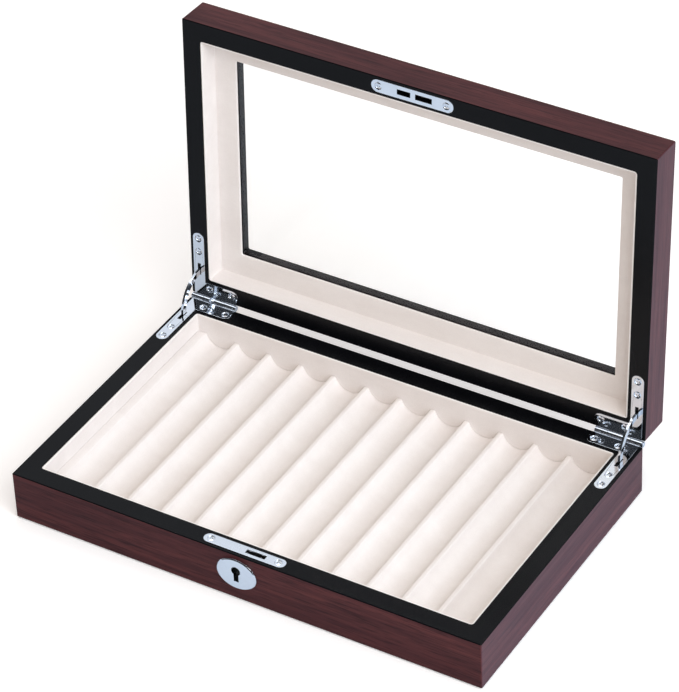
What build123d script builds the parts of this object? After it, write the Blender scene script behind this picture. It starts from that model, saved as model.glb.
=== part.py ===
from build123d import *
from math import asin, cos, degrees, radians, sin, sqrt
import os

# Veneered case with a hinged glass-topped lid, a grooved tray and a front lock.
# Millimetres. Origin: middle of the underside. +X right, +Y back, +Z up.
# The lid is drawn closed and then turned open about the hinge axis.

# ---- case ----
case_width = 335.0
case_depth = 208.0
wall = 13.0
corner_radius = 1.0
edge_chamfer = 0.5
cavity_radius = 2.0
base_rail_height = 35.0
felt_thickness = 0.8
felt_inset = 4.0
floor_thickness = 4.0
floor_lap = 6.0
joint_gap = 0.05
cut_past = 1.0  # how far a cutting shape runs past what it cuts

# ---- lining and tray ----
lining_thickness = 1.2
lining_drop = 0.3
tray_side_gap = 0.3
crest_below_rim = 13.5
groove_count = 12
groove_depth = 8.5
tray_end_land = 6.4
ridge_crest = 3.3  # flat left between two grooves before its edges are rounded
ridge_fillet = 1.2
ridge_web = 2.0  # thickness of a ridge strip at a groove's bottom

# ---- lid ----
rim_gap = 0.6
lid_rail_height = 24.4
lid_open_angle = 93.0
panel_underside = 16.2
panel_lap = 3.2
window_width = 275.0
window_depth = 147.4
window_radius = 1.0
glass_lap = 6.0
glass_thickness = 2.0
glass_edge_gap = 0.4
glass_rabbet_depth = 2.2
retainer_thickness = 1.4

# ---- sheet metal and screws ----
sheet = 1.1
sheet_proud = 0.25
inlay_gap = 0.05
screw_head_radius = 2.45
screw_head_height = 0.5
screw_sink = 0.55
screw_sink_radius = 2.6
screw_shank_radius = 1.2
screw_length = 9.0
screw_point = 2.0
screw_tip_radius = 0.3
screw_gap = 0.03
cross_width = 0.55
cross_span = 2.6
cross_depth = 0.3

# ---- hinges ----
hinge_axis_back = 2.1
knuckle_radius = 2.0
pin_radius = 1.0
pin_gap = 0.05
knuckle_end = 9.0
knuckle_middle = 16.0
knuckle_gap = 0.15
barrel_edge_inset = 0.5
knuckle_notch_gap = 0.4
knuckle_root = 1.0  # how far a knuckle's strip runs into its leaf
leaf_arm_width = 8.4
side_arm_reach = 42.0
back_arm_reach = 29.0
side_screw_reaches = (27.5, 37.5)
back_screw_reaches = (7.5, 24.5)

# ---- stays: quarter arcs about the hinge axis ----
stay_radius = 20.5
stay_width = 3.8
stay_thickness = 1.6
stay_slot_gap = 0.4
stay_slot_front = 26.8
stay_slot_back = 18.1
stay_pin_radius = 0.9
stay_pin_length = 4.4
stay_pin_drop = 0.1
stay_tail_angle = 3.9
pocket_side_gap = 0.7
pocket_round_gap = 0.8
pocket_end_angle = 2.0
pocket_past_angle = 5.0  # how far the pocket's cut runs above the parting plane

# ---- lock ----
plate_length = 58.0
plate_width = 7.6
plate_screw_reach = 24.0
plate_slot = (1.1, 15.0)
plate_slot_width = 3.4
strike_width = 9.0
strike_slots = ((-10.8, -1.3), (2.1, 13.9))
strike_slot_width = 3.7
strike_pocket_gap = 0.7
strike_pocket_width = 4.4
key_centre_x = -2.0
key_below_rim = 11.2
lock_case_thickness = 7.0
lock_case_wall = 0.8
lock_case_play = 0.1
lock_side_play = 0.5
claw_thickness = 2.4
claw_band = 2.5
claw_clearance = 0.25
claw_tip_angle = 36.0
claw_sweep = 84.0
claw_spoke = 12.0
claw_root = 1.0  # how far the claw's spoke runs into the hub
hub_radius = 9.8
hub_boss_radius = 2.9
hub_boss_gap = 0.1
lock_pin_radius = 1.5
lock_pin_gap = 0.05
bit_slot_width = 2.4
bit_slot_reach = 7.4
bit_slot_land = 0.6  # metal between the hub's boss and the key bit's notch
key_barrel_radius = 2.5
spring_thickness = 0.4
spring_width = 3.0
spring_gap = 0.3
spring_foot = 4.5
spring_rise = 6.0
spring_tail = 3.0
spring_tail_drop = 0.8

# ---- escutcheon ----
escutcheon_width = 28.4
escutcheon_height = 22.7
escutcheon_proud = 2.0
escutcheon_chamfer = 0.6
collar_radius = 6.8
collar_wall = 0.8
collar_depth = 2.4
collar_gap = 0.05
collar_root = 0.5  # how far the collar runs into the plate
keyhole_radius = 3.2
keyhole_height = 11.4
keyhole_neck = 3.5

# ---- places worked out from the sizes ----
rim_z = felt_thickness + base_rail_height
floor_top = felt_thickness + floor_thickness
lid_rim_z = rim_z + rim_gap
lid_top_z = lid_rim_z + lid_rail_height
parting_z = rim_z + rim_gap / 2
rim_x = case_width / 2 - wall / 2
rim_y = case_depth / 2 - wall / 2
axis_y = case_depth / 2 + hinge_axis_back
cavity_width = case_width - 2 * wall
cavity_depth = case_depth - 2 * wall
hinge_axis = Axis((0, axis_y, parting_z), (1, 0, 0))
key_z = rim_z - key_below_rim
lock_y = -rim_y
panel_z = lid_rim_z + panel_underside
base_sheet_z = rim_z - sheet + sheet_proud
barrel_end_x = case_width / 2 - barrel_edge_inset
barrel_length = 2 * knuckle_end + knuckle_middle
barrel_start_x = barrel_end_x - barrel_length


# ---- shape helpers ----
def block(x0, x1, y0, y1, z0, z1):
    """Box between two corners."""
    return Pos((x0 + x1) / 2, (y0 + y1) / 2, (z0 + z1) / 2) * Box(x1 - x0, y1 - y0, z1 - z0)


def rod_x(x0, x1, y, z, radius):
    """Round bar along X."""
    return Pos((x0 + x1) / 2, y, z) * Rot(0, 90, 0) * Cylinder(radius, x1 - x0)


def rod_y(x, y0, y1, z, radius):
    """Round bar along Y."""
    return Pos(x, (y0 + y1) / 2, z) * Rot(90, 0, 0) * Cylinder(radius, y1 - y0)


def rod_z(x, y, z0, z1, radius):
    """Round bar along Z."""
    return Pos(x, y, (z0 + z1) / 2) * Cylinder(radius, z1 - z0)


def slab(width, depth, radius, z0, z1):
    """Upright prism on a rounded rectangle about the middle."""
    return Pos(0, 0, z0) * extrude(RectangleRounded(width, depth, radius), z1 - z0)


def slot_x(x0, x1, y, width, z0, z1):
    """Upright prism on a slot along X with round ends."""
    outline = Pos((x0 + x1) / 2, y, z0) * SlotOverall(x1 - x0, width)
    return extrude(outline, z1 - z0)


def band(radius_in, radius_out, start, sweep):
    """Flat arc band about the origin, angles in degrees."""
    outer = CenterArc((0, 0), radius_out, start, sweep)
    inner = CenterArc((0, 0), radius_in, start, sweep)
    edges = Curve() + [outer, Line(outer @ 1, inner @ 1), inner, Line(inner @ 0, outer @ 0)]
    return make_face(edges)


def side_plane(x):
    """Plane across X through the hinge axis; its own x runs back and its y up."""
    return Plane(origin=(x, axis_y, parting_z), x_dir=(0, 1, 0), z_dir=(1, 0, 0))


def lock_plane(y):
    """Plane across Y through the key's axis, seen from the front."""
    return Plane(origin=(key_centre_x, y, key_z), x_dir=(1, 0, 0), z_dir=(0, -1, 0))


def both_sides(shape):
    """The right-hand shape and its mirror on the left."""
    return {"right": shape, "left": mirror(shape, about=Plane.YZ)}


def over_parting(shape):
    """Mirror of a base shape in the parting plane, for the lid."""
    return mirror(shape, about=Plane.XY.offset(parting_z))


# ---- screws ----
def screw(x, y, seat_z):
    """Pan-head screw pointing down, its head on seat_z."""
    dome_radius = (screw_head_radius**2 + screw_head_height**2) / (2 * screw_head_height)
    dome = Pos(x, y, seat_z + screw_head_height - dome_radius) * Sphere(dome_radius)
    head = rod_z(x, y, seat_z, seat_z + screw_head_height, screw_head_radius) & dome
    shank = rod_z(x, y, seat_z - screw_length + screw_point, seat_z, screw_shank_radius)
    tip_z = seat_z - screw_length + screw_point / 2
    tip = Pos(x, y, tip_z) * Cone(screw_tip_radius, screw_shank_radius, screw_point)
    top = seat_z + screw_head_height
    arm, half = cross_span / 2, cross_width / 2
    bottom, over = top - cross_depth, top + cut_past
    cross = block(x - arm, x + arm, y - half, y + half, bottom, over)
    cross += block(x - half, x + half, y - arm, y + arm, bottom, over)
    return (head + shank + tip) - cross


def screw_seat(x, y, seat_z):
    """Sunk round seat and hole through a plate whose top is above seat_z."""
    sink = rod_z(x, y, seat_z, seat_z + sheet, screw_sink_radius)
    return sink + rod_z(x, y, seat_z - sheet, seat_z, screw_shank_radius + screw_gap)


def pilot(x, y, seat_z):
    """Hole in the wood for a screw's shank."""
    return rod_z(x, y, seat_z - screw_length - screw_gap, seat_z, screw_shank_radius + screw_gap)


plate_seat_z = rim_z + sheet_proud - screw_sink
leaf_screws = [(rim_x, axis_y - hinge_axis_back - step - wall / 2) for step in side_screw_reaches]
leaf_screws += [(rim_x - step, rim_y) for step in back_screw_reaches]
plate_screws = [(-plate_screw_reach, lock_y), (plate_screw_reach, lock_y)]


# ---- wooden frames ----
def mitre_wedge(side):
    """Plan wedge of one rail, cut at 45 degrees through the outer corners."""
    x, y = case_width / 2 + cut_past, case_depth / 2 + cut_past
    run = wall + floor_lap + panel_lap + 2 * cut_past
    front = [(-x, -y), (x, -y), (x - run, run - y), (run - x, run - y)]
    right = [(x, -y), (x, y), (x - run, y - run), (x - run, run - y)]
    points = {
        "front": front,
        "rear": [(-a, -b) for a, b in front],
        "right": right,
        "left": [(-a, -b) for a, b in right],
    }[side]
    face = make_face(Polyline(*points, close=True))
    return extrude(face, lid_top_z + cut_past)


def split_rails(ring, prefix):
    """Four mitred rails cut from a whole frame ring."""
    names = ("front", "rear", "left", "right")
    return {f"{prefix}_{side}_rail": ring & mitre_wedge(side) for side in names}


def frame_ring(z0, z1):
    """Rounded outer frame with chamfered outer edges and a rounded cavity."""
    outer = slab(case_width, case_depth, corner_radius, z0, z1)
    levels = outer.edges().group_by(Axis.Z)
    outer = chamfer(levels[0] + levels[-1], edge_chamfer)
    return outer - slab(cavity_width, cavity_depth, cavity_radius, z0 - cut_past, z1 + cut_past)


# ---- hinge leaves ----
def leaf_outline(grow, z0, z1, back_y):
    """Right-hand L-shaped leaf: a side arm, a back arm and the strip to the barrel."""
    half = leaf_arm_width / 2 + grow
    side_start = case_depth / 2 - wall / 2 - side_arm_reach + leaf_arm_width / 2
    back_start = rim_x - back_arm_reach + leaf_arm_width / 2
    outline = block(rim_x - half, rim_x + half, side_start, rim_y + half, z0, z1)
    outline += rod_z(rim_x, side_start, z0, z1, half)
    outline += block(back_start, rim_x + half, rim_y - half, rim_y + half, z0, z1)
    outline += rod_z(back_start, rim_y, z0, z1, half)
    outline += block(barrel_start_x - grow, rim_x + half, rim_y, back_y, z0, z1)
    return outline


def knuckle_spans():
    """X ranges of the three knuckles, from the inner end outwards."""
    first = barrel_start_x + knuckle_end
    second = first + knuckle_middle
    gap = knuckle_gap / 2
    return [(barrel_start_x, first - gap), (first + gap, second - gap), (second + gap, barrel_end_x)]


def hinge_leaf(own, other):
    """Right-hand leaf in its base place, with its own knuckles and notches for the others."""
    spans = knuckle_spans()
    back_y = case_depth / 2
    z0, z1 = base_sheet_z, base_sheet_z + sheet
    leaf = leaf_outline(0, z0, z1, back_y)
    for x0, x1 in (spans[i] for i in own):
        strip_end = min(x1, rim_x + leaf_arm_width / 2)
        leaf += block(x0, strip_end, back_y - knuckle_root, axis_y - pin_radius / 2, z0, z1)
        leaf += rod_x(x0, x1, axis_y, parting_z, knuckle_radius)
        leaf -= rod_x(x0 - cut_past, x1 + cut_past, axis_y, parting_z, pin_radius + pin_gap)
    for x0, x1 in (spans[i] for i in other):
        notch_y = back_y - knuckle_notch_gap
        leaf -= block(
            x0 - knuckle_gap, x1 + knuckle_gap, notch_y, axis_y + knuckle_radius + cut_past,
            parting_z - knuckle_radius - cut_past, parting_z + knuckle_radius + cut_past,
        )
    for x, y in leaf_screws:
        leaf -= screw_seat(x, y, plate_seat_z)
    slot_half = stay_thickness / 2 + stay_slot_gap
    slot_y0, slot_y1 = axis_y - stay_slot_front, axis_y - stay_slot_back
    return leaf - block(
        rim_x - slot_half, rim_x + slot_half, slot_y0, slot_y1, z0 - cut_past, z1 + cut_past
    )


# ---- stays ----
stay_pin_angle = degrees(
    asin((rim_gap / 2 + sheet - sheet_proud + stay_pin_drop + stay_pin_radius) / stay_radius)
)
stay_half_angle = lid_open_angle / 2 + stay_pin_angle + stay_tail_angle


def stay_arc():
    """Right-hand stay in its closed place: an arc centred on the parting plane."""
    face = band(
        stay_radius - stay_width / 2, stay_radius + stay_width / 2,
        180 - stay_half_angle, 2 * stay_half_angle,
    )
    arc = extrude(side_plane(rim_x) * face, stay_thickness / 2, both=True)
    for place in stay_pin_places():
        arc -= rod_x(rim_x - wall, rim_x + wall, *place, stay_pin_radius)
    return arc


def stay_pin_places():
    """Y and Z of the two stop pins of a stay, lid closed."""
    turn = lid_open_angle / 2 + stay_pin_angle
    return [
        (axis_y - stay_radius * cos(radians(a)), parting_z + stay_radius * sin(radians(a)))
        for a in (turn, -turn)
    ]


def stay_pins():
    """The two cross pins of the right-hand stay, lid closed."""
    half = stay_pin_length / 2
    return [rod_x(rim_x - half, rim_x + half, y, z, stay_pin_radius) for y, z in stay_pin_places()]


def stay_pocket():
    """Right-hand pocket in the base for a stay's lower half."""
    reach = stay_width / 2 + pocket_round_gap
    face = band(
        stay_radius - reach, stay_radius + reach,
        180 - pocket_past_angle, pocket_past_angle + stay_half_angle + pocket_end_angle,
    )
    half = stay_pin_length / 2 + pocket_side_gap
    return extrude(side_plane(rim_x) * face, half, both=True)


# ---- lock ----
strike_web_top = parting_z + rim_gap / 2 - sheet_proud + sheet - key_z
claw_inner = sqrt(strike_web_top**2 + (strike_slots[1][0] - key_centre_x) ** 2) + claw_clearance
claw_outer = claw_inner + claw_band
claw_lowest = claw_outer * sin(radians(claw_sweep - claw_tip_angle))
lock_left = key_centre_x - hub_radius - lock_side_play
lock_right = key_centre_x + claw_outer + lock_side_play
lock_bottom = key_z - claw_lowest - lock_side_play
lock_front = lock_y - lock_case_thickness / 2
lock_back = lock_y + lock_case_thickness / 2


def face_plate(slots, slot_width, width):
    """Round-ended plate for the middle of the front rim, in its base place."""
    z0, z1 = base_sheet_z, base_sheet_z + sheet
    plate = slot_x(-plate_length / 2, plate_length / 2, lock_y, width, z0, z1)
    for x0, x1 in slots:
        half = slot_width / 2
        plate -= block(x0, x1, lock_y - half, lock_y + half, z0 - cut_past, z1 + cut_past)
    for x, y in plate_screws:
        plate -= screw_seat(x, y, plate_seat_z)
    return plate


def keyhole(radius, neck, reach, y0, y1):
    """Round hole on the key's axis with a straight neck below it."""
    hole = rod_y(key_centre_x, y0, y1, key_z, radius)
    return hole + block(key_centre_x - neck / 2, key_centre_x + neck / 2, y0, y1, key_z - reach, key_z)


def lock_case():
    """Front wall and edges of the lock, open at the back and the top."""
    w = lock_case_wall
    shell = block(
        lock_left - w, lock_right + w, lock_front, lock_back - w, lock_bottom - w, base_sheet_z
    )
    room = block(
        lock_left, lock_right, lock_front + w, lock_back, lock_bottom, base_sheet_z + cut_past
    )
    return shell - room - keyhole(
        key_barrel_radius, bit_slot_width, bit_slot_reach,
        lock_front - cut_past, lock_front + w + cut_past,
    )


def lock_back_plate():
    """Plate that closes the lock's back."""
    w = lock_case_wall
    plate = block(
        lock_left - w, lock_right + w, lock_back - w, lock_back, lock_bottom - w, base_sheet_z
    )
    return plate - rod_y(
        key_centre_x, lock_back - w - cut_past, lock_back + cut_past, key_z, lock_pin_radius
    )


def lock_pin():
    """Post in the back plate on which the bolt turns and the key sits."""
    return rod_y(key_centre_x, lock_front + lock_case_wall, lock_back, key_z, lock_pin_radius)


def hook_bolt():
    """Turning bolt, unlocked: hub, spoke and a claw about the key's axis."""
    mid = lock_plane(lock_y)
    start = claw_tip_angle - claw_sweep
    shape = Circle(hub_radius) + band(claw_inner, claw_outer, start, claw_sweep)
    shape += band(hub_radius - claw_root, claw_inner + claw_root, start, claw_spoke)
    bolt = extrude(mid * shape, claw_thickness / 2, both=True)
    boss_y = lock_back - lock_case_wall - hub_boss_gap
    bolt += rod_y(key_centre_x, lock_y, boss_y, key_z, hub_boss_radius)
    bolt -= rod_y(key_centre_x, lock_front, lock_back, key_z, lock_pin_radius + lock_pin_gap)
    half = bit_slot_width / 2
    return bolt - block(
        key_centre_x - half, key_centre_x + half, lock_front, lock_y + claw_thickness / 2 + cut_past,
        key_z - bit_slot_reach, key_z - hub_boss_radius - bit_slot_land,
    )


def lock_spring():
    """Leaf on the lock's floor that presses up against the hub."""
    z0 = lock_bottom
    top = key_z - hub_radius - spring_gap
    x0 = lock_left
    lower = [
        (x0, z0), (x0 + spring_foot, z0), (x0 + spring_foot + spring_rise, top - spring_thickness),
        (x0 + spring_foot + spring_rise + spring_tail, top - spring_thickness - spring_tail_drop),
    ]
    upper = [(x, z + spring_thickness) for x, z in reversed(lower)]
    outline = Polyline(*lower, *upper, close=True)
    face = make_face(Plane(origin=(0, lock_y, 0), x_dir=(1, 0, 0), z_dir=(0, -1, 0)) * outline)
    return extrude(face, spring_width / 2, both=True)


# ---- escutcheon ----
escutcheon_z = key_z + keyhole_radius - keyhole_height / 2


def escutcheon():
    """Oval plate with a bevelled edge, a keyhole and a collar let into the front rail."""
    front_y = -case_depth / 2
    plane = Plane(origin=(key_centre_x, front_y, escutcheon_z), x_dir=(1, 0, 0), z_dir=(0, -1, 0))
    plate = extrude(plane * Ellipse(escutcheon_width / 2, escutcheon_height / 2), escutcheon_proud)
    plate = chamfer(plate.edges().group_by(Axis.Y)[0], escutcheon_chamfer)
    inner = collar_radius - collar_wall
    back_y = front_y + collar_depth
    collar = rod_y(key_centre_x, front_y - collar_root, back_y, escutcheon_z, collar_radius)
    collar -= rod_y(key_centre_x, front_y, back_y + cut_past, escutcheon_z, inner)
    return plate + collar - keyhole(
        keyhole_radius, keyhole_neck, keyhole_height - keyhole_radius,
        front_y - escutcheon_proud - cut_past, front_y + collar_root,
    )


# ---- base ----
def base_frame():
    ring = frame_ring(felt_thickness, rim_z)
    lap = floor_lap
    ring -= slab(cavity_width + 2 * lap, cavity_depth + 2 * lap, corner_radius, 0, floor_top)
    leaf_bed = leaf_outline(inlay_gap, base_sheet_z, rim_z + cut_past, case_depth / 2 + cut_past)
    for shape in both_sides(leaf_bed).values():
        ring -= shape
    for shape in both_sides(stay_pocket()).values():
        ring -= shape
    for x, y in leaf_screws:
        for shape in both_sides(pilot(x, y, plate_seat_z)).values():
            ring -= shape
    grow = inlay_gap
    ring -= slot_x(
        -plate_length / 2 - grow, plate_length / 2 + grow, lock_y, plate_width + 2 * grow,
        base_sheet_z, rim_z + cut_past,
    )
    for x, y in plate_screws:
        ring -= pilot(x, y, plate_seat_z)
    w, play = lock_case_wall, lock_case_play
    ring -= block(
        lock_left - w - play, lock_right + w + play, lock_front - play, lock_back + play,
        lock_bottom - w - play, rim_z,
    )
    return ring - rod_y(
        key_centre_x, -case_depth / 2 - cut_past, lock_front, escutcheon_z, collar_radius + collar_gap
    )


def lining(z0, z1):
    """Band of covered card round the inside of the frame."""
    gap, inset = joint_gap, lining_thickness + joint_gap
    outer = slab(cavity_width - 2 * gap, cavity_depth - 2 * gap, cavity_radius - gap, z0, z1)
    return outer - slab(
        cavity_width - 2 * inset, cavity_depth - 2 * inset, cavity_radius - inset,
        z0 - cut_past, z1 + cut_past,
    )


def pen_tray():
    """Tray board between the linings and the ridge strips on it, which meet at the grooves' bottoms."""
    inset = lining_thickness + joint_gap + tray_side_gap
    width, depth = cavity_width - 2 * inset, cavity_depth - 2 * inset
    top = rim_z - crest_below_rim
    whole = slab(width, depth, cavity_radius - lining_thickness, floor_top, top)
    pitch = (width - 2 * tray_end_land + ridge_crest) / groove_count
    half_width = (pitch - ridge_crest) / 2
    radius = (half_width**2 + groove_depth**2) / (2 * groove_depth)
    centres = [(i - (groove_count - 1) / 2) * pitch for i in range(groove_count)]
    for x in centres:
        whole -= rod_y(x, -depth, depth, top - groove_depth + radius, radius)
    crests = whole.edges().filter_by(Axis.Y).group_by(Axis.Z)[-1].sort_by(Axis.X)[1:-1]
    whole = fillet(crests, ridge_fillet)
    seat = top - groove_depth - ridge_web
    nodes = {"pen_tray": whole & block(-width, width, -depth, depth, floor_top, seat)}
    bounds = [-width / 2, *centres, width / 2]
    for i, (x0, x1) in enumerate(zip(bounds, bounds[1:]), 1):
        nodes[f"tray_ridge_{i:02d}"] = whole & block(x0, x1, -depth, depth, seat, top)
    return nodes


# ---- lid, closed ----
def lid_frame():
    ring = frame_ring(lid_rim_z, lid_top_z)
    lap = panel_lap
    ring -= slab(
        cavity_width + 2 * lap, cavity_depth + 2 * lap, corner_radius, panel_z, lid_top_z + cut_past
    )
    leaf_bed = leaf_outline(inlay_gap, base_sheet_z, rim_z + cut_past, case_depth / 2 + cut_past)
    cuts = [leaf_bed, stay_pocket()]
    cuts += [pilot(x, y, plate_seat_z) for x, y in leaf_screws]
    for cut in cuts:
        for shape in both_sides(over_parting(cut)).values():
            ring -= shape
    grow = inlay_gap
    ring -= over_parting(slot_x(
        -plate_length / 2 - grow, plate_length / 2 + grow, lock_y, strike_width + 2 * grow,
        base_sheet_z, rim_z + cut_past,
    ))
    for x, y in plate_screws:
        ring -= over_parting(pilot(x, y, plate_seat_z))
    half = strike_pocket_width / 2
    ring -= block(
        strike_slots[0][0] - strike_pocket_gap, strike_slots[1][1] + strike_pocket_gap,
        lock_y - half, lock_y + half, lid_rim_z, key_z + claw_outer + strike_pocket_gap,
    )
    return ring


def lid_top_panel():
    """Board in the rails' rebate, with the window and a rabbet for the glass below."""
    grow = 2 * (panel_lap - joint_gap)
    radius = corner_radius - joint_gap
    panel = slab(cavity_width + grow, cavity_depth + grow, radius, panel_z, lid_top_z)
    below, above = panel_z - cut_past, lid_top_z + cut_past
    panel -= slab(window_width, window_depth, window_radius, below, above)
    lap = 2 * glass_lap
    rabbet_top = panel_z + glass_rabbet_depth
    return panel - slab(window_width + lap, window_depth + lap, window_radius, below, rabbet_top)


def window_glass():
    grow = 2 * (glass_lap - glass_edge_gap)
    radius = window_radius - glass_edge_gap
    return slab(window_width + grow, window_depth + grow, radius, panel_z, panel_z + glass_thickness)


def window_retainer():
    """Covered card frame that holds the glass and makes the ledge inside the lid."""
    gap = 2 * joint_gap
    outer = slab(
        cavity_width - gap, cavity_depth - gap, cavity_radius - joint_gap,
        panel_z - retainer_thickness, panel_z,
    )
    return outer - slab(
        window_width, window_depth, window_radius,
        panel_z - retainer_thickness - cut_past, panel_z + cut_past,
    )


# ---- the whole object ----
def base_nodes():
    nodes = split_rails(base_frame(), "base")
    gap = floor_lap - joint_gap
    nodes["base_floor_panel"] = slab(
        cavity_width + 2 * gap, cavity_depth + 2 * gap, corner_radius - joint_gap,
        felt_thickness, floor_top,
    )
    nodes["underside_felt"] = slab(
        case_width - 2 * felt_inset, case_depth - 2 * felt_inset, corner_radius, 0, felt_thickness
    )
    nodes["base_lining"] = lining(floor_top, rim_z - lining_drop)
    nodes.update(pen_tray())
    nodes["lock_plate"] = face_plate([plate_slot], plate_slot_width, plate_width)
    nodes["lock_plate_screws"] = [screw(x, y, plate_seat_z) for x, y in plate_screws]
    nodes["lock_case"] = lock_case()
    nodes["lock_back_plate"] = lock_back_plate()
    nodes["lock_pin"] = lock_pin()
    nodes["lock_spring"] = lock_spring()
    nodes["escutcheon"] = escutcheon()
    screws = []
    for x, y in leaf_screws:
        screws += both_sides(screw(x, y, plate_seat_z)).values()
    nodes["base_leaf_screws"] = screws
    pin = rod_x(barrel_start_x, barrel_end_x, axis_y, parting_z, pin_radius)
    for side, leaf in both_sides(hinge_leaf((0, 2), (1,))).items():
        nodes[f"base_hinge_leaf_{side}"] = leaf
    for side, shape in both_sides(pin).items():
        nodes[f"hinge_pin_{side}"] = shape
    return nodes


def lid_nodes():
    nodes = split_rails(lid_frame(), "lid")
    nodes["lid_top_panel"] = lid_top_panel()
    nodes["window_glass"] = window_glass()
    nodes["window_retainer"] = window_retainer()
    nodes["lid_lining"] = lining(lid_rim_z + lining_drop, panel_z - retainer_thickness)
    strike = face_plate(strike_slots, strike_slot_width, strike_width)
    nodes["strike_plate"] = over_parting(strike)
    nodes["strike_plate_screws"] = [over_parting(screw(x, y, plate_seat_z)) for x, y in plate_screws]
    screws = []
    for x, y in leaf_screws:
        screws += both_sides(over_parting(screw(x, y, plate_seat_z))).values()
    nodes["lid_leaf_screws"] = screws
    for side, leaf in both_sides(over_parting(hinge_leaf((1,), (0, 2)))).items():
        nodes[f"lid_hinge_leaf_{side}"] = leaf
    return nodes


def stay_nodes():
    nodes = {f"stay_{side}": arc for side, arc in both_sides(stay_arc()).items()}
    for side in ("right", "left"):
        nodes[f"stay_pins_{side}"] = [both_sides(pin)[side] for pin in stay_pins()]
    return nodes


def turned(shape, angle):
    """Shape, or list of shapes, turned open by an angle about the hinge axis."""
    if isinstance(shape, list):
        return [turned(each, angle) for each in shape]
    return shape.rotate(hinge_axis, -angle)


def write_node(name, shape):
    """One STEP file for a node, a list being a group of separate solids."""
    shapes = shape if isinstance(shape, list) else [shape]
    solids = [solid for each in shapes for solid in each.solids()]
    whole = solids[0] if len(solids) == 1 else Compound(solids)
    export_step(whole, f"parts/{name}.step")


def main():
    os.makedirs("parts", exist_ok=True)
    nodes = base_nodes()
    nodes["hook_bolt"] = hook_bolt()
    for name, shape in lid_nodes().items():
        nodes[name] = turned(shape, lid_open_angle)
    for name, shape in stay_nodes().items():
        nodes[name] = turned(shape, lid_open_angle / 2)
    for name, shape in nodes.items():
        write_node(name, shape)
    print(len(nodes), "nodes written; hinge axis at y", axis_y, "z", parting_z)


main()
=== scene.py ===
from math import atan2, cos, radians, sin, sqrt

import bmesh
import bpy
from mathutils import Matrix, Vector, noise

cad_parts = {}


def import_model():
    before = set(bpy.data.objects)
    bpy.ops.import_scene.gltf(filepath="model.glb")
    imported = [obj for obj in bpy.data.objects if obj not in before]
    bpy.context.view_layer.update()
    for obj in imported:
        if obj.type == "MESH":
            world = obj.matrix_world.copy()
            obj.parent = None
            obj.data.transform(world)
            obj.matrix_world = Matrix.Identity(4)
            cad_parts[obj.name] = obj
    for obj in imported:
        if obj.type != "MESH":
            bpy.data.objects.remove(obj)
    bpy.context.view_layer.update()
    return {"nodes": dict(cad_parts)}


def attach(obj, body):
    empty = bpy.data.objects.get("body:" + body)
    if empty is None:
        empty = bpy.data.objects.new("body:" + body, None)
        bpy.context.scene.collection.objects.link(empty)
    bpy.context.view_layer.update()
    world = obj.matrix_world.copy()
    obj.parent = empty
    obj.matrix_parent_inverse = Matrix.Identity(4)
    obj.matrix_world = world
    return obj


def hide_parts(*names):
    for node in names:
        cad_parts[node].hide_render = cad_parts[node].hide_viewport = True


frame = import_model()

scene = bpy.context.scene
scene.view_settings.view_transform = "Standard"
nodes = frame["nodes"]
MM = 0.001

# ---- sizes of the closed case, in millimetres ----
OUTER = (167.5, 104.0)  # half width and half depth
RIM_Z, LID_RIM_Z = 35.8, 36.4
LID_TOP_Z, PANEL_Z = 60.8, 52.6
FLOOR_TOP = 4.8
CAVITY = (309.0, 182.0, 2.0)  # width, depth and corner radius
WINDOW = (275.0, 147.4, 1.0)
LINING_GAP, LINING, LINING_DROP = 0.05, 1.2, 0.3
RETAINER = 1.4
TRAY_X, TRAY_Y, CREST_Z = 153.2, 89.7, 22.3  # half width, half depth and height of the crests
GROOVES, PITCH, GROOVE_R, GROOVE_DEPTH, CREST_FILLET = 12, 24.7, 10.985, 8.5, 1.2
FELT = ((326.8, 199.8, 0.0), (327.3, 200.3, 0.45), (327.0, 200.0, 0.8))  # width, depth and height
FELT_CORNER = 1.5

# ---- how far the finishes and the painted edge highlight reach, in millimetres ----
LACQUER_REACH = 0.52  # past a rim, over its chamfer
VENEER_SKIN = 0.3  # under a veneered face
REVEAL_REACH = 0.1  # round the window's opening
EDGE_HIGHLIGHT_BAND = 0.3  # painted highlight along the top edge of a lining
EDGE_HIGHLIGHT_Z = RIM_Z - LINING_DROP - EDGE_HIGHLIGHT_BAND
LID_EDGE_HIGHLIGHT_Z = LID_RIM_Z + LINING_DROP + EDGE_HIGHLIGHT_BAND

# ---- steps of the meshes ----
CORNER_STEPS, SIDE_STEPS = 8, 24
FLANK_STEPS, FILLET_STEPS, TRAY_ROWS = 14, 5, 36
CREASE = radians(34)

# ---- the lid's hinge, in metres ----
HINGE = Vector((0.0, 0.1061, 0.0361))
OPEN = radians(-93.0)
TO_OPEN = Matrix.Translation(HINGE) @ Matrix.Rotation(OPEN, 4, "X") @ Matrix.Translation(-HINGE)
TO_CLOSED = TO_OPEN.inverted()

# ---- colours ----
WOOD = ((0.058, 0.0155, 0.0185), (0.091, 0.0240, 0.0260), (0.122, 0.034, 0.034))
# the third colour is a painted sheen for the veneer's side faces
WOOD_STREAK, WOOD_PORE, WOOD_PAINTED_SHEEN = (0.046, 0.0120, 0.0150), (0.020, 0.0050, 0.0065), (0.25, 0.16, 0.22)
LACQUER = ((0.0026, 0.0028, 0.0036), (0.0042, 0.0046, 0.0058))
STAIN = ((0.0075, 0.0062, 0.0072), (0.0150, 0.0115, 0.0125))
SUEDE = ((0.825, 0.776, 0.752), (0.862, 0.818, 0.796))
# painted highlight colour for the top edge of a lining
SUEDE_PAINTED_HIGHLIGHT = (0.93, 0.90, 0.885)
CHROME_TONE = ((0.73, 0.77, 0.83), (0.79, 0.83, 0.89))
STEEL_TONE = ((0.44, 0.44, 0.46), (0.60, 0.60, 0.61))
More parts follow.
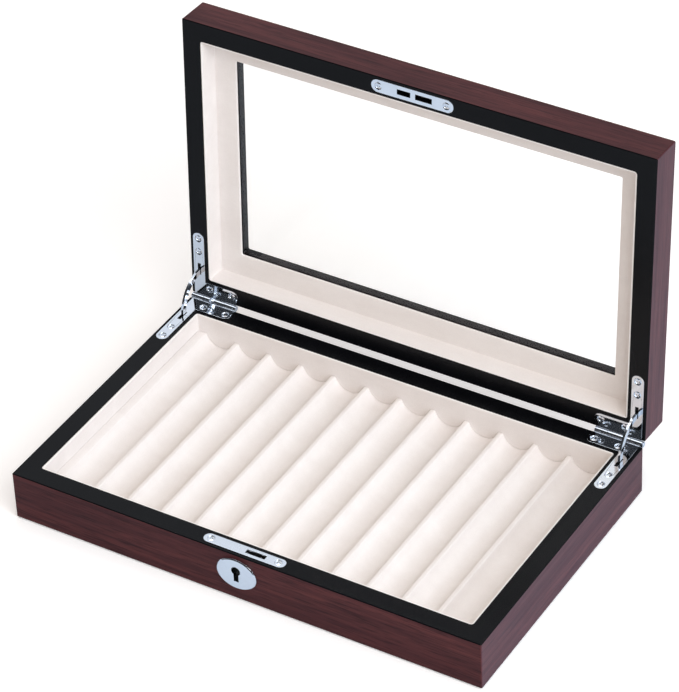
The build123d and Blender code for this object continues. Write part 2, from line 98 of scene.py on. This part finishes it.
# near-black tones painted as the shade inside the lock, seen through the keyhole
LOCK_PAINTED_SHADE_TONE = ((0.018, 0.018, 0.019), (0.030, 0.030, 0.032))
GLASS_TONE = ((0.985, 0.995, 0.99), (0.995, 1.0, 0.998))
FELT_TONE = ((0.004, 0.004, 0.005), (0.016, 0.016, 0.018))
BOARD_TONE = ((0.20, 0.125, 0.068), (0.31, 0.205, 0.12))
FLOOR_TONE = ((0.87, 0.87, 0.88), (0.89, 0.89, 0.90))
FLOOR_IN_METAL, ROOM_IN_METAL = (0.66, 0.76, 0.88), (0.87, 0.91, 0.97)
ROOM_LEFT, ROOM_RIGHT = (0.37, 0.250, 0.140), (0.64, 0.69, 0.75)


# ---- material nodes ----
def add_node(tree, kind, values=None, **settings):
    """A node with its settings and with its inputs set or linked."""
    node = tree.nodes.new(kind)
    for key, value in settings.items():
        setattr(node, key, value)
    for key, value in (values or {}).items():
        if isinstance(value, bpy.types.NodeSocket):
            tree.links.new(value, node.inputs[key])
        else:
            node.inputs[key].default_value = value
    return node


def add_ramp(tree, fac, *stops):
    """A ramp through stops, each a position with a colour or a grey."""
    node = add_node(tree, "ShaderNodeValToRGB", {"Fac": fac})
    elements = node.color_ramp.elements
    while len(elements) < len(stops):
        elements.new(0.5)
    for element, (position, colour) in zip(elements, stops):
        element.position = position
        element.color = (*colour, 1.0) if isinstance(colour, tuple) else (colour, colour, colour, 1.0)
    return node.outputs["Color"]


class Tree:
    """A material's node tree, with short ways to add and link nodes."""

    def __init__(self, name):
        self.material = bpy.data.materials.new(name)
        self.material.use_nodes = True
        self.tree = self.material.node_tree
        self.shader = self.tree.nodes["Principled BSDF"]
        self.output = self.tree.nodes["Material Output"]

    def put(self, kind, values=None, **settings):
        return add_node(self.tree, kind, values, **settings)

    def set(self, **values):
        for key, value in values.items():
            socket = self.shader.inputs[key.replace("_", " ")]
            if isinstance(value, bpy.types.NodeSocket):
                self.tree.links.new(value, socket)
            else:
                socket.default_value = value

    def math(self, operation, *values, clamp=False):
        node = self.put("ShaderNodeMath", dict(enumerate(values)), operation=operation, use_clamp=clamp)
        return node.outputs[0]

    def place(self, scale=(1, 1, 1), rotation=(0, 0, 0), location=(0, 0, 0), source=None):
        if source is None:
            source = self.put("ShaderNodeTexCoord").outputs["Object"]
        values = {"Vector": source, "Scale": scale, "Rotation": rotation, "Location": location}
        return self.put("ShaderNodeMapping", values).outputs[0]

    def noise(self, vector, detail, rough, distortion=0.0):
        values = {"Vector": vector, "Scale": 1.0, "Detail": detail, "Roughness": rough, "Distortion": distortion}
        return self.put("ShaderNodeTexNoise", values).outputs["Fac"]

    def ramp(self, fac, *stops):
        return add_ramp(self.tree, fac, *stops)

    def blend(self, fac, tones, low=0.3, high=0.7):
        """From the first tone to the second while the factor goes from low to high."""
        return self.ramp(fac, (low, tones[0]), (high, tones[1]))

    def mix(self, fac, a, b, mode="MIX"):
        node = self.put("ShaderNodeMix", data_type="RGBA", blend_type=mode)
        for index, value in ((0, fac), (6, a), (7, b)):
            if isinstance(value, bpy.types.NodeSocket):
                self.tree.links.new(value, node.inputs[index])
            else:
                node.inputs[index].default_value = (*value, 1.0) if isinstance(value, tuple) else value
        return node.outputs[2]

    def bump(self, height, strength, distance):
        values = {"Height": height, "Strength": strength, "Distance": distance}
        return self.put("ShaderNodeBump", values).outputs[0]


def closed_place(tree, lid):
    """Coordinates of the closed case, in metres, also for pieces of the open lid."""
    if not lid:
        return tree.put("ShaderNodeTexCoord").outputs["Object"]
    return tree.place(rotation=(-OPEN, 0, 0), location=tuple(TO_CLOSED.to_translation()))


def veneer(name, along_y, lid, panel=False):
    """Dark satin veneer on the outer faces, its grain along a rail, or mitred round the lid's panel.

    Rims and pockets are lacquered black, the edge of the panel's window is stained, and the side faces get a
    painted purplish sheen.
    """
    t = Tree(name)
    place = closed_place(t, lid)
    x, y, z = t.put("ShaderNodeSeparateXYZ", {0: place}).outputs
    across, along = t.math("ABSOLUTE", x), t.math("ABSOLUTE", y)
    turned = t.place(rotation=(0, 0, radians(90)), source=place)
    side, grain = (1.0, turned) if along_y else (0.0, place)
    if panel:
        side = t.math("GREATER_THAN", t.math("SUBTRACT", across, along), (OUTER[0] - OUTER[1]) * MM)
        grain = t.mix(side, place, turned)
    seed = (3.1, 1.7, 0.4) if lid else (0.2, 0.9, 2.3)
    broad = t.noise(t.place((4, 40, 40), location=seed, source=grain), 5.0, 0.6, 0.6)
    streak = t.noise(t.place((9, 230, 230), location=seed, source=grain), 6.0, 0.62, 0.3)
    pores = t.noise(t.place((60, 1300, 1300), location=seed, source=grain), 3.0, 0.6)
    cloud = t.noise(t.place((9, 22, 22), location=seed, source=grain), 2.0, 0.5)
    tone = t.ramp(broad, (0.30, WOOD[0]), (0.52, WOOD[1]), (0.74, WOOD[2]))
    tone = t.mix(t.ramp(streak, (0.38, 0.85), (0.58, 0.0)), tone, WOOD_STREAK)
    tone = t.mix(t.ramp(pores, (0.36, 0.60), (0.48, 0.0)), tone, WOOD_PORE)
    tone = t.mix(0.35, tone, t.ramp(cloud, (0.3, 0.60), (0.7, 1.0)), "MULTIPLY")
    # painted sheen: the side rails and the panel's ends are mixed towards a pale purplish tone
    tone = t.mix(t.math("MULTIPLY", side, 0.12), tone, WOOD_PAINTED_SHEEN)

    def beyond(half_width, half_depth):
        """1 outside an upright box about the middle."""
        past_x = t.math("SUBTRACT", across, half_width * MM)
        past_y = t.math("SUBTRACT", along, half_depth * MM)
        return t.math("GREATER_THAN", t.math("MAXIMUM", past_x, past_y), 0.0)

    top = t.math("GREATER_THAN", z, (LID_TOP_Z - VENEER_SKIN) * MM)
    if panel:
        framed = beyond(WINDOW[0] / 2 + REVEAL_REACH, WINDOW[1] / 2 + REVEAL_REACH)
        wood = t.math("MULTIPLY", framed, top)
        dark = t.blend(cloud, STAIN)
    else:
        wood = beyond(OUTER[0] - VENEER_SKIN, OUTER[1] - VENEER_SKIN)
        if lid:
            off_rim = t.math("GREATER_THAN", z, (LID_RIM_Z + LACQUER_REACH) * MM)
            wood = t.math("MAXIMUM", wood, top)
        else:
            off_rim = t.math("LESS_THAN", z, (RIM_Z - LACQUER_REACH) * MM)
        wood = t.math("MULTIPLY", wood, off_rim)
        dark = t.blend(cloud, LACQUER)
    t.set(Base_Color=t.mix(wood, dark, tone), Specular_IOR_Level=0.11)
    t.set(Roughness=t.mix(wood, (0.24, 0.24, 0.24), t.blend(streak, (0.42, 0.30))))
    height = t.math("MULTIPLY", t.math("ADD", t.math("MULTIPLY", pores, 0.8), streak), wood)
    t.set(Normal=t.bump(height, 0.35, 0.00012))
    return t.material


def suede(name, lid=False):
    """Short-napped ivory suede cloth: brushed tone, tiny fibres, a soft sheen and a painted highlight along a
    lining's top edge.
    """
    t = Tree(name)
    place = closed_place(t, lid)
    brushed = t.noise(t.place((26, 60, 60), (0, 0, radians(24)), source=place), 4.0, 0.6, 0.6)
    fibre = t.noise(t.place((1900, 1900, 1900), source=place), 3.0, 0.7)
    patch = t.noise(t.place((240, 240, 240), source=place), 4.0, 0.6)
    tone = t.blend(brushed, SUEDE)
    tone = t.mix(0.45, tone, t.blend(fibre, (0.88, 1.0), high=0.62), "MULTIPLY")
    tone = t.mix(0.30, tone, t.blend(patch, (0.95, 1.0)), "MULTIPLY")
    z = t.put("ShaderNodeSeparateXYZ", {0: place}).outputs[2]
    # painted highlight: near a lining's top edge the suede is made paler
    edge_highlight = t.math("LESS_THAN", z, LID_EDGE_HIGHLIGHT_Z * MM) if lid else t.math("GREATER_THAN", z, EDGE_HIGHLIGHT_Z * MM)
    t.set(Base_Color=t.mix(edge_highlight, tone, SUEDE_PAINTED_HIGHLIGHT), Roughness=0.88, Sheen_Weight=0.25, Sheen_Roughness=0.45)
    height = t.math("ADD", fibre, t.math("MULTIPLY", patch, 0.7))
    t.set(Normal=t.bump(height, 0.35, 0.00016), Specular_IOR_Level=0.25)
    return t.material


def chrome(name):
    """Mirror-polished chrome with faint polishing marks."""
    t = Tree(name)
    marks = t.noise(t.place((900, 900, 900)), 3.0, 0.6)
    haze = t.noise(t.place((120, 120, 120)), 3.0, 0.6)
    t.set(Base_Color=t.blend(haze, CHROME_TONE), Metallic=1.0)
    t.set(Roughness=t.blend(haze, (0.045, 0.10), high=0.75))
    t.set(Normal=t.bump(marks, 0.04, 0.00004))
    return t.material


def steel(name, tones, metallic):
    """Rolled steel of the lock's inside: plain, or near-black as painted shade for the parts seen through the
    keyhole.
    """
    t = Tree(name)
    marks = t.noise(t.place((300, 2600, 300)), 4.0, 0.6)
    t.set(Base_Color=t.blend(marks, tones), Metallic=metallic)
    t.set(Roughness=t.blend(marks, (0.26, 0.42)))
    t.set(Normal=t.bump(marks, 0.08, 0.00006))
    return t.material


def glass(name):
    """Clear float glass with the faintest unevenness."""
    t = Tree(name)
    wave = t.noise(t.place((9, 9, 9)), 2.0, 0.5)
    t.set(Base_Color=t.blend(wave, GLASS_TONE, 0.0, 1.0))
    t.set(Transmission_Weight=1.0, Roughness=0.0, IOR=1.22)
    t.set(Normal=t.bump(wave, 0.02, 0.0001))
    return t.material


def felt(name):
    """Black needle felt."""
    t = Tree(name)
    fibre = t.noise(t.place((1400, 1400, 1400)), 5.0, 0.75)
    t.set(Base_Color=t.blend(fibre, FELT_TONE))
    t.set(Roughness=0.95, Sheen_Weight=0.2, Normal=t.bump(fibre, 0.6, 0.0003))
    return t.material


def board(name):
    """Bare fibreboard."""
    t = Tree(name)
    grit = t.noise(t.place((800, 800, 800)), 5.0, 0.7)
    t.set(Base_Color=t.blend(grit, BOARD_TONE))
    t.set(Roughness=0.85, Normal=t.bump(grit, 0.3, 0.0002))
    return t.material


# ---- mesh helpers ----
def piece(name, skin, body, material, replaced, matrix=None):
    """A new mesh, from a skin in millimetres, that rides on a body and stands for some nodes."""
    vertices, faces = skin
    points = [Vector(v) * MM for v in vertices]
    if matrix:
        points = [matrix @ p for p in points]
    mesh = bpy.data.meshes.new(name)
    mesh.from_pydata(points, [], faces)
    outward = bmesh.new()
    outward.from_mesh(mesh)
    bmesh.ops.recalc_face_normals(outward, faces=outward.faces)
    outward.to_mesh(mesh)
    outward.free()
    mesh.shade_smooth()
    mesh.set_sharp_from_angle(angle=CREASE)
    mesh.materials.append(material)
    obj = bpy.data.objects.new(name, mesh)
    scene.collection.objects.link(obj)
    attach(obj, body)
    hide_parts(*replaced)


def ring(width, depth, radius, z):
    """Points round a rounded rectangle, the same number whatever its size."""
    points = []
    x, y = width / 2 - radius, depth / 2 - radius
    places = ((x, y), (-x, y), (-x, -y), (x, -y))
    for i, (cx, cy) in enumerate(places):
        for k in range(CORNER_STEPS + 1):
            a = radians(90 * (i + k / CORNER_STEPS))
            points.append((cx + radius * cos(a), cy + radius * sin(a), z))
        a = radians(90 * (i + 1))
        nx, ny = places[(i + 1) % 4]
        ox, oy = radius * cos(a), radius * sin(a)
        for k in range(1, SIDE_STEPS):
            f = k / SIDE_STEPS
            points.append((cx + (nx - cx) * f + ox, cy + (ny - cy) * f + oy, z))
    return points


def loft(rings, capped=False):
    """Closed skin through rings: capped at both ends, or the last joined to the first."""
    count = len(rings[0])
    vertices = [p for each in rings for p in each]
    faces = []
    for i in range(len(rings) - 1 if capped else len(rings)):
        j = (i + 1) % len(rings)
        for k in range(count):
            n = (k + 1) % count
            faces.append((i * count + k, i * count + n, j * count + n, j * count + k))
    if capped:
        faces += [tuple(range(count)), tuple(range(len(vertices) - count, len(vertices)))]
    return vertices, faces


def unevenness(p, size, amount, seed):
    """Small smooth wander of a cloth-covered face."""
    return amount * noise.noise(Vector((p[0] / size + seed, p[1] / size, p[2] / size)))


# ---- materials ----
IVORY, IVORY_LID = suede("ivory_suede"), suede("ivory_suede_lid", lid=True)
CHROME, GLASS = chrome("polished_chrome"), glass("clear_glass")
STEEL = steel("lock_steel", STEEL_TONE, 1.0)
# painted shade: the lock's case, back plate and pin are near-black so the keyhole reads dark
LOCK_STEEL_PAINTED_SHADE = steel("lock_steel_painted_shade", LOCK_PAINTED_SHADE_TONE, 0.3)
BLACK_FELT, BOARD = felt("black_felt"), board("floor_board")
WOODS = {
    (part, run): veneer(f"veneer_{part}_{run}", run == "side", part == "lid")
    for part in ("base", "lid") for run in ("front", "side")
}
PANEL = veneer("veneer_lid_panel", False, True, panel=True)


def finish_of(name):
    """The material of a node that keeps its own shape."""
    if name.endswith("_rail"):
        return WOODS[name.split("_")[0], "side" if "left" in name or "right" in name else "front"]
    # painted shade: these inner lock parts get the near-black steel
    if name in ("lock_case", "lock_back_plate", "lock_pin"):
        return LOCK_STEEL_PAINTED_SHADE
    if name in ("hook_bolt", "lock_spring"):
        return STEEL
    return {"lid_top_panel": PANEL, "window_glass": GLASS, "base_floor_panel": BOARD}.get(name, CHROME)


for name, obj in nodes.items():
    obj.data.materials.clear()
    obj.data.materials.append(finish_of(name))
    if finish_of(name) in (CHROME, STEEL, LOCK_STEEL_PAINTED_SHADE):
        weld = obj.modifiers.new("join", "WELD")
        weld.merge_threshold = 0.002 * MM
        bevel = obj.modifiers.new("edges", "BEVEL")
        bevel.width, bevel.segments = 0.12 * MM, 2
        bevel.limit_method, bevel.angle_limit = "ANGLE", radians(42)
        obj.modifiers.new("shade", "WEIGHTED_NORMAL").keep_sharp = True


# ---- linings and the ledge round the glass ----
def wrapped_band(foot, edge):
    """Rings of a lining: card wrapped in suede from its foot to its rounded edge."""
    width, depth, radius = CAVITY
    outer, inner = LINING_GAP, LINING_GAP + LINING
    up = 1 if edge > foot else -1
    lip = (
        (outer, 0.35), (outer + 0.12, 0.12), (outer + 0.4, 0.0),
        (inner - 0.4, 0.0), (inner - 0.12, 0.12), (inner, 0.4), (inner, 1.5),
    )
    stations = [(outer, foot), *((inset, edge - drop * up) for inset, drop in lip)]
    stations += [(inner, (foot + edge) / 2), (inner, foot)]
    return [ring(width - 2 * inset, depth - 2 * inset, radius - inset, z) for inset, z in stations]


def ledge_rings():
    """Rings of the ledge: flat card, wrapped round the window's edge."""
    low, high = PANEL_Z - RETAINER, PANEL_Z
    ow, od, orad = (size - gap for size, gap in zip(CAVITY, (2 * LINING_GAP, 2 * LINING_GAP, LINING_GAP)))
    w, d, r = WINDOW
    stations = [(ow, od, orad, high), (ow, od, orad, low)]
    for share in (0.33, 0.66):
        stations.append((ow + (w - ow) * share, od + (d - od) * share, orad + (r - orad) * share, low))
    for out, rise in ((0.7, 0.0), (0.3, 0.09), (0.08, 0.3), (0.0, 0.7)):
        stations.append((w + 2 * out, d + 2 * out, r + out, low + rise))
    stations.append((w, d, r, high))
    return [ring(*each) for each in stations]


band = wrapped_band(FLOOR_TOP, RIM_Z - LINING_DROP)
piece("suede_base_lining", loft(band), "base", IVORY, ["base_lining"])
band = wrapped_band(PANEL_Z - RETAINER, LID_RIM_Z + LINING_DROP)
piece("suede_lid_lining", loft(band), "lid", IVORY_LID, ["lid_lining"], TO_OPEN)
ledge = loft(ledge_rings())
piece("suede_window_ledge", ledge, "lid", IVORY_LID, ["window_retainer"], TO_OPEN)


# ---- grooved tray ----
def tray_profile():
    """X and Z along the tray's top from left to right."""
    axis_z = CREST_Z - GROOVE_DEPTH + GROOVE_R
    drop = axis_z - CREST_Z + CREST_FILLET
    fillet_x = sqrt((GROOVE_R + CREST_FILLET) ** 2 - drop**2)
    reach = atan2(fillet_x, drop)
    half = []
    for k in range(FLANK_STEPS + 1):
        a = reach * k / FLANK_STEPS
        half.append((GROOVE_R * sin(a), axis_z - GROOVE_R * cos(a)))
    for k in range(1, FILLET_STEPS + 1):
        a = reach * (1 - k / FILLET_STEPS)
        half.append((fillet_x - CREST_FILLET * sin(a), CREST_Z - CREST_FILLET + CREST_FILLET * cos(a)))
    groove = [(-x, z) for x, z in reversed(half[1:])] + half
    points = [(-TRAY_X, CREST_Z - 0.5), (-TRAY_X + 0.15, CREST_Z - 0.15), (-TRAY_X + 0.5, CREST_Z)]
    for i in range(GROOVES):
        middle = (i - (GROOVES - 1) / 2) * PITCH
        points += [(middle + x, z) for x, z in groove]
    points += [(-x, z) for x, z in reversed(points[:3])]
    return points


def tray_sections():
    """Upright sections of the tray from front to back, its cloth a little uneven."""
    profile = tray_profile()
    ends = ((0.0, 0.6), (0.12, 0.22), (0.45, 0.03), (1.2, 0.0))
    rows = [(-TRAY_Y + inset, drop) for inset, drop in ends]
    rows += [(-TRAY_Y + 2 * TRAY_Y * k / TRAY_ROWS, 0.0) for k in range(1, TRAY_ROWS)]
    rows += [(TRAY_Y - inset, drop) for inset, drop in reversed(ends)]
    sections = []
    for y, drop in rows:
        line = []
        for x, z in profile:
            wander = unevenness((x, y, z), 21.0, 0.14, 4.0) + unevenness((x, y, z), 6.0, 0.05, 9.0)
            line.append((x, y, z - drop + wander))
        sections.append([(-TRAY_X, y, FLOOR_TOP), *line, (TRAY_X, y, FLOOR_TOP)])
    return sections


ridges = [name for name in nodes if name.startswith("tray_ridge")]
tray = loft(tray_sections(), capped=True)
piece("suede_pen_tray", tray, "base", IVORY, ["pen_tray", *ridges])

# ---- felt under the case ----
sole = loft([ring(width, depth, FELT_CORNER, z) for width, depth, z in FELT], capped=True)
piece("felt_sole", sole, "base", BLACK_FELT, ["underside_felt"])


# ---- floor, world and lamps, in metres ----
def floor(reach, glow, metal_glow):
    """Pale floor that keeps the case's shadow, glows a little to the camera and looks bluish in metal."""
    mesh = bpy.data.meshes.new("floor")
    corners = ((-reach, -reach, 0), (reach, -reach, 0), (reach, reach, 0), (-reach, reach, 0))
    mesh.from_pydata(corners, [], [(0, 1, 2, 3)])
    obj = bpy.data.objects.new("floor", mesh)
    scene.collection.objects.link(obj)
    t = Tree("pale_floor")
    pale = t.blend(t.noise(t.place((3, 3, 3)), 2.0, 0.5), FLOOR_TONE)
    rays = t.put("ShaderNodeLightPath").outputs
    seen = t.math("MAXIMUM", rays["Is Camera Ray"], rays["Is Transmission Ray"])
    mirrored = t.math("SUBTRACT", rays["Is Glossy Ray"], rays["Is Transmission Ray"], clamp=True)
    t.set(Base_Color=t.mix(mirrored, pale, FLOOR_IN_METAL), Roughness=0.9, Specular_IOR_Level=0.1)
    strength = t.math("ADD", t.math("MULTIPLY", seen, glow), t.math("MULTIPLY", mirrored, metal_glow))
    light = t.put("ShaderNodeEmission", {"Color": (1, 1, 1, 1), "Strength": strength}).outputs[0]
    both = t.put("ShaderNodeAddShader", {0: t.shader.outputs[0], 1: light}).outputs[0]
    t.tree.links.new(both, t.output.inputs["Surface"])
    mesh.materials.append(t.material)


def world():
    """Cool soft light from the right, dim warm light from the left; metal sees a darker room in front."""
    scene.world = bpy.data.worlds.new("studio")
    scene.world.use_nodes = True
    tree = scene.world.node_tree

    def put(kind, values=None, **settings):
        return add_node(tree, kind, values, **settings).outputs

    def fade(value, start, end, low, high):
        """A smooth step from low to high while the value goes from start to end."""
        values = dict(enumerate((value, start, end, low, high)))
        return put("ShaderNodeMapRange", values, interpolation_type="SMOOTHSTEP")[0]

    def background(colour, strength):
        return put("ShaderNodeBackground", {"Color": colour, "Strength": strength})[0]

    across, along, _ = put("ShaderNodeSeparateXYZ", {0: put("ShaderNodeTexCoord")["Generated"]})
    tint = add_ramp(tree, fade(across, -0.8, 0.8, 0.0, 1.0), (0.0, ROOM_LEFT), (1.0, ROOM_RIGHT))
    room = background(tint, 1.0)
    shiny = background((*ROOM_IN_METAL, 1.0), fade(along, -0.5, 0.2, 0.05, 1.0))
    white = background((1.0, 1.0, 1.0, 1.0), 1.0)
    rays = put("ShaderNodeLightPath")
    seen = put("ShaderNodeMath", {0: rays["Is Camera Ray"], 1: rays["Is Transmission Ray"]}, operation="MAXIMUM")
    mixed = put("ShaderNodeMixShader", {0: rays["Is Glossy Ray"], 1: room, 2: shiny})[0]
    mixed = put("ShaderNodeMixShader", {0: seen[0], 1: mixed, 2: white})[0]
    tree.links.new(mixed, tree.nodes["World Output"].inputs["Surface"])


def lamp(name, place, aim_z, size, power, colour):
    """A rectangular lamp that points at the case's middle at a height."""
    data = bpy.data.lights.new(name, "AREA")
    data.shape, data.size, data.size_y = "RECTANGLE", *size
    data.energy, data.color = power, colour
    obj = bpy.data.objects.new(name, data)
    obj.location = place
    obj.rotation_euler = (Vector((0, 0, aim_z)) - Vector(place)).to_track_quat("-Z", "Y").to_euler()
    scene.collection.objects.link(obj)


floor(reach=12.0, glow=0.32, metal_glow=0.08)
world()
lamp("key_lamp", (1.35, -0.95, 1.75), 0.06, (1.3, 1.3), 22.5, (1.0, 0.985, 0.97))
lamp("side_lamp", (2.3, -0.5, 0.85), 0.08, (1.3, 1.0), 21.0, (0.88, 0.94, 1.0))
lamp("top_lamp", (-0.35, 0.15, 2.1), 0.05, (1.6, 1.6), 10.0, (0.97, 0.98, 1.0))

# ---- camera at the photograph's angle ----
EYE = (0.98563, -1.53391, 1.53056)
forward = Vector((-0.42413, 0.66893, -0.61045)).normalized()
right = Vector((0.85902, 0.51058, -0.03734))
right = (right - forward * right.dot(forward)).normalized()
up = (-forward).cross(right)
camera = bpy.data.cameras.new("camera")
camera.sensor_width, camera.lens, camera.clip_end = 36.0, 196.5, 60.0
eye = bpy.data.objects.new("camera", camera)
eye.matrix_world = Matrix.Translation(EYE) @ Matrix((right, up, -forward)).transposed().to_4x4()
scene.collection.objects.link(eye)
scene.camera = eye
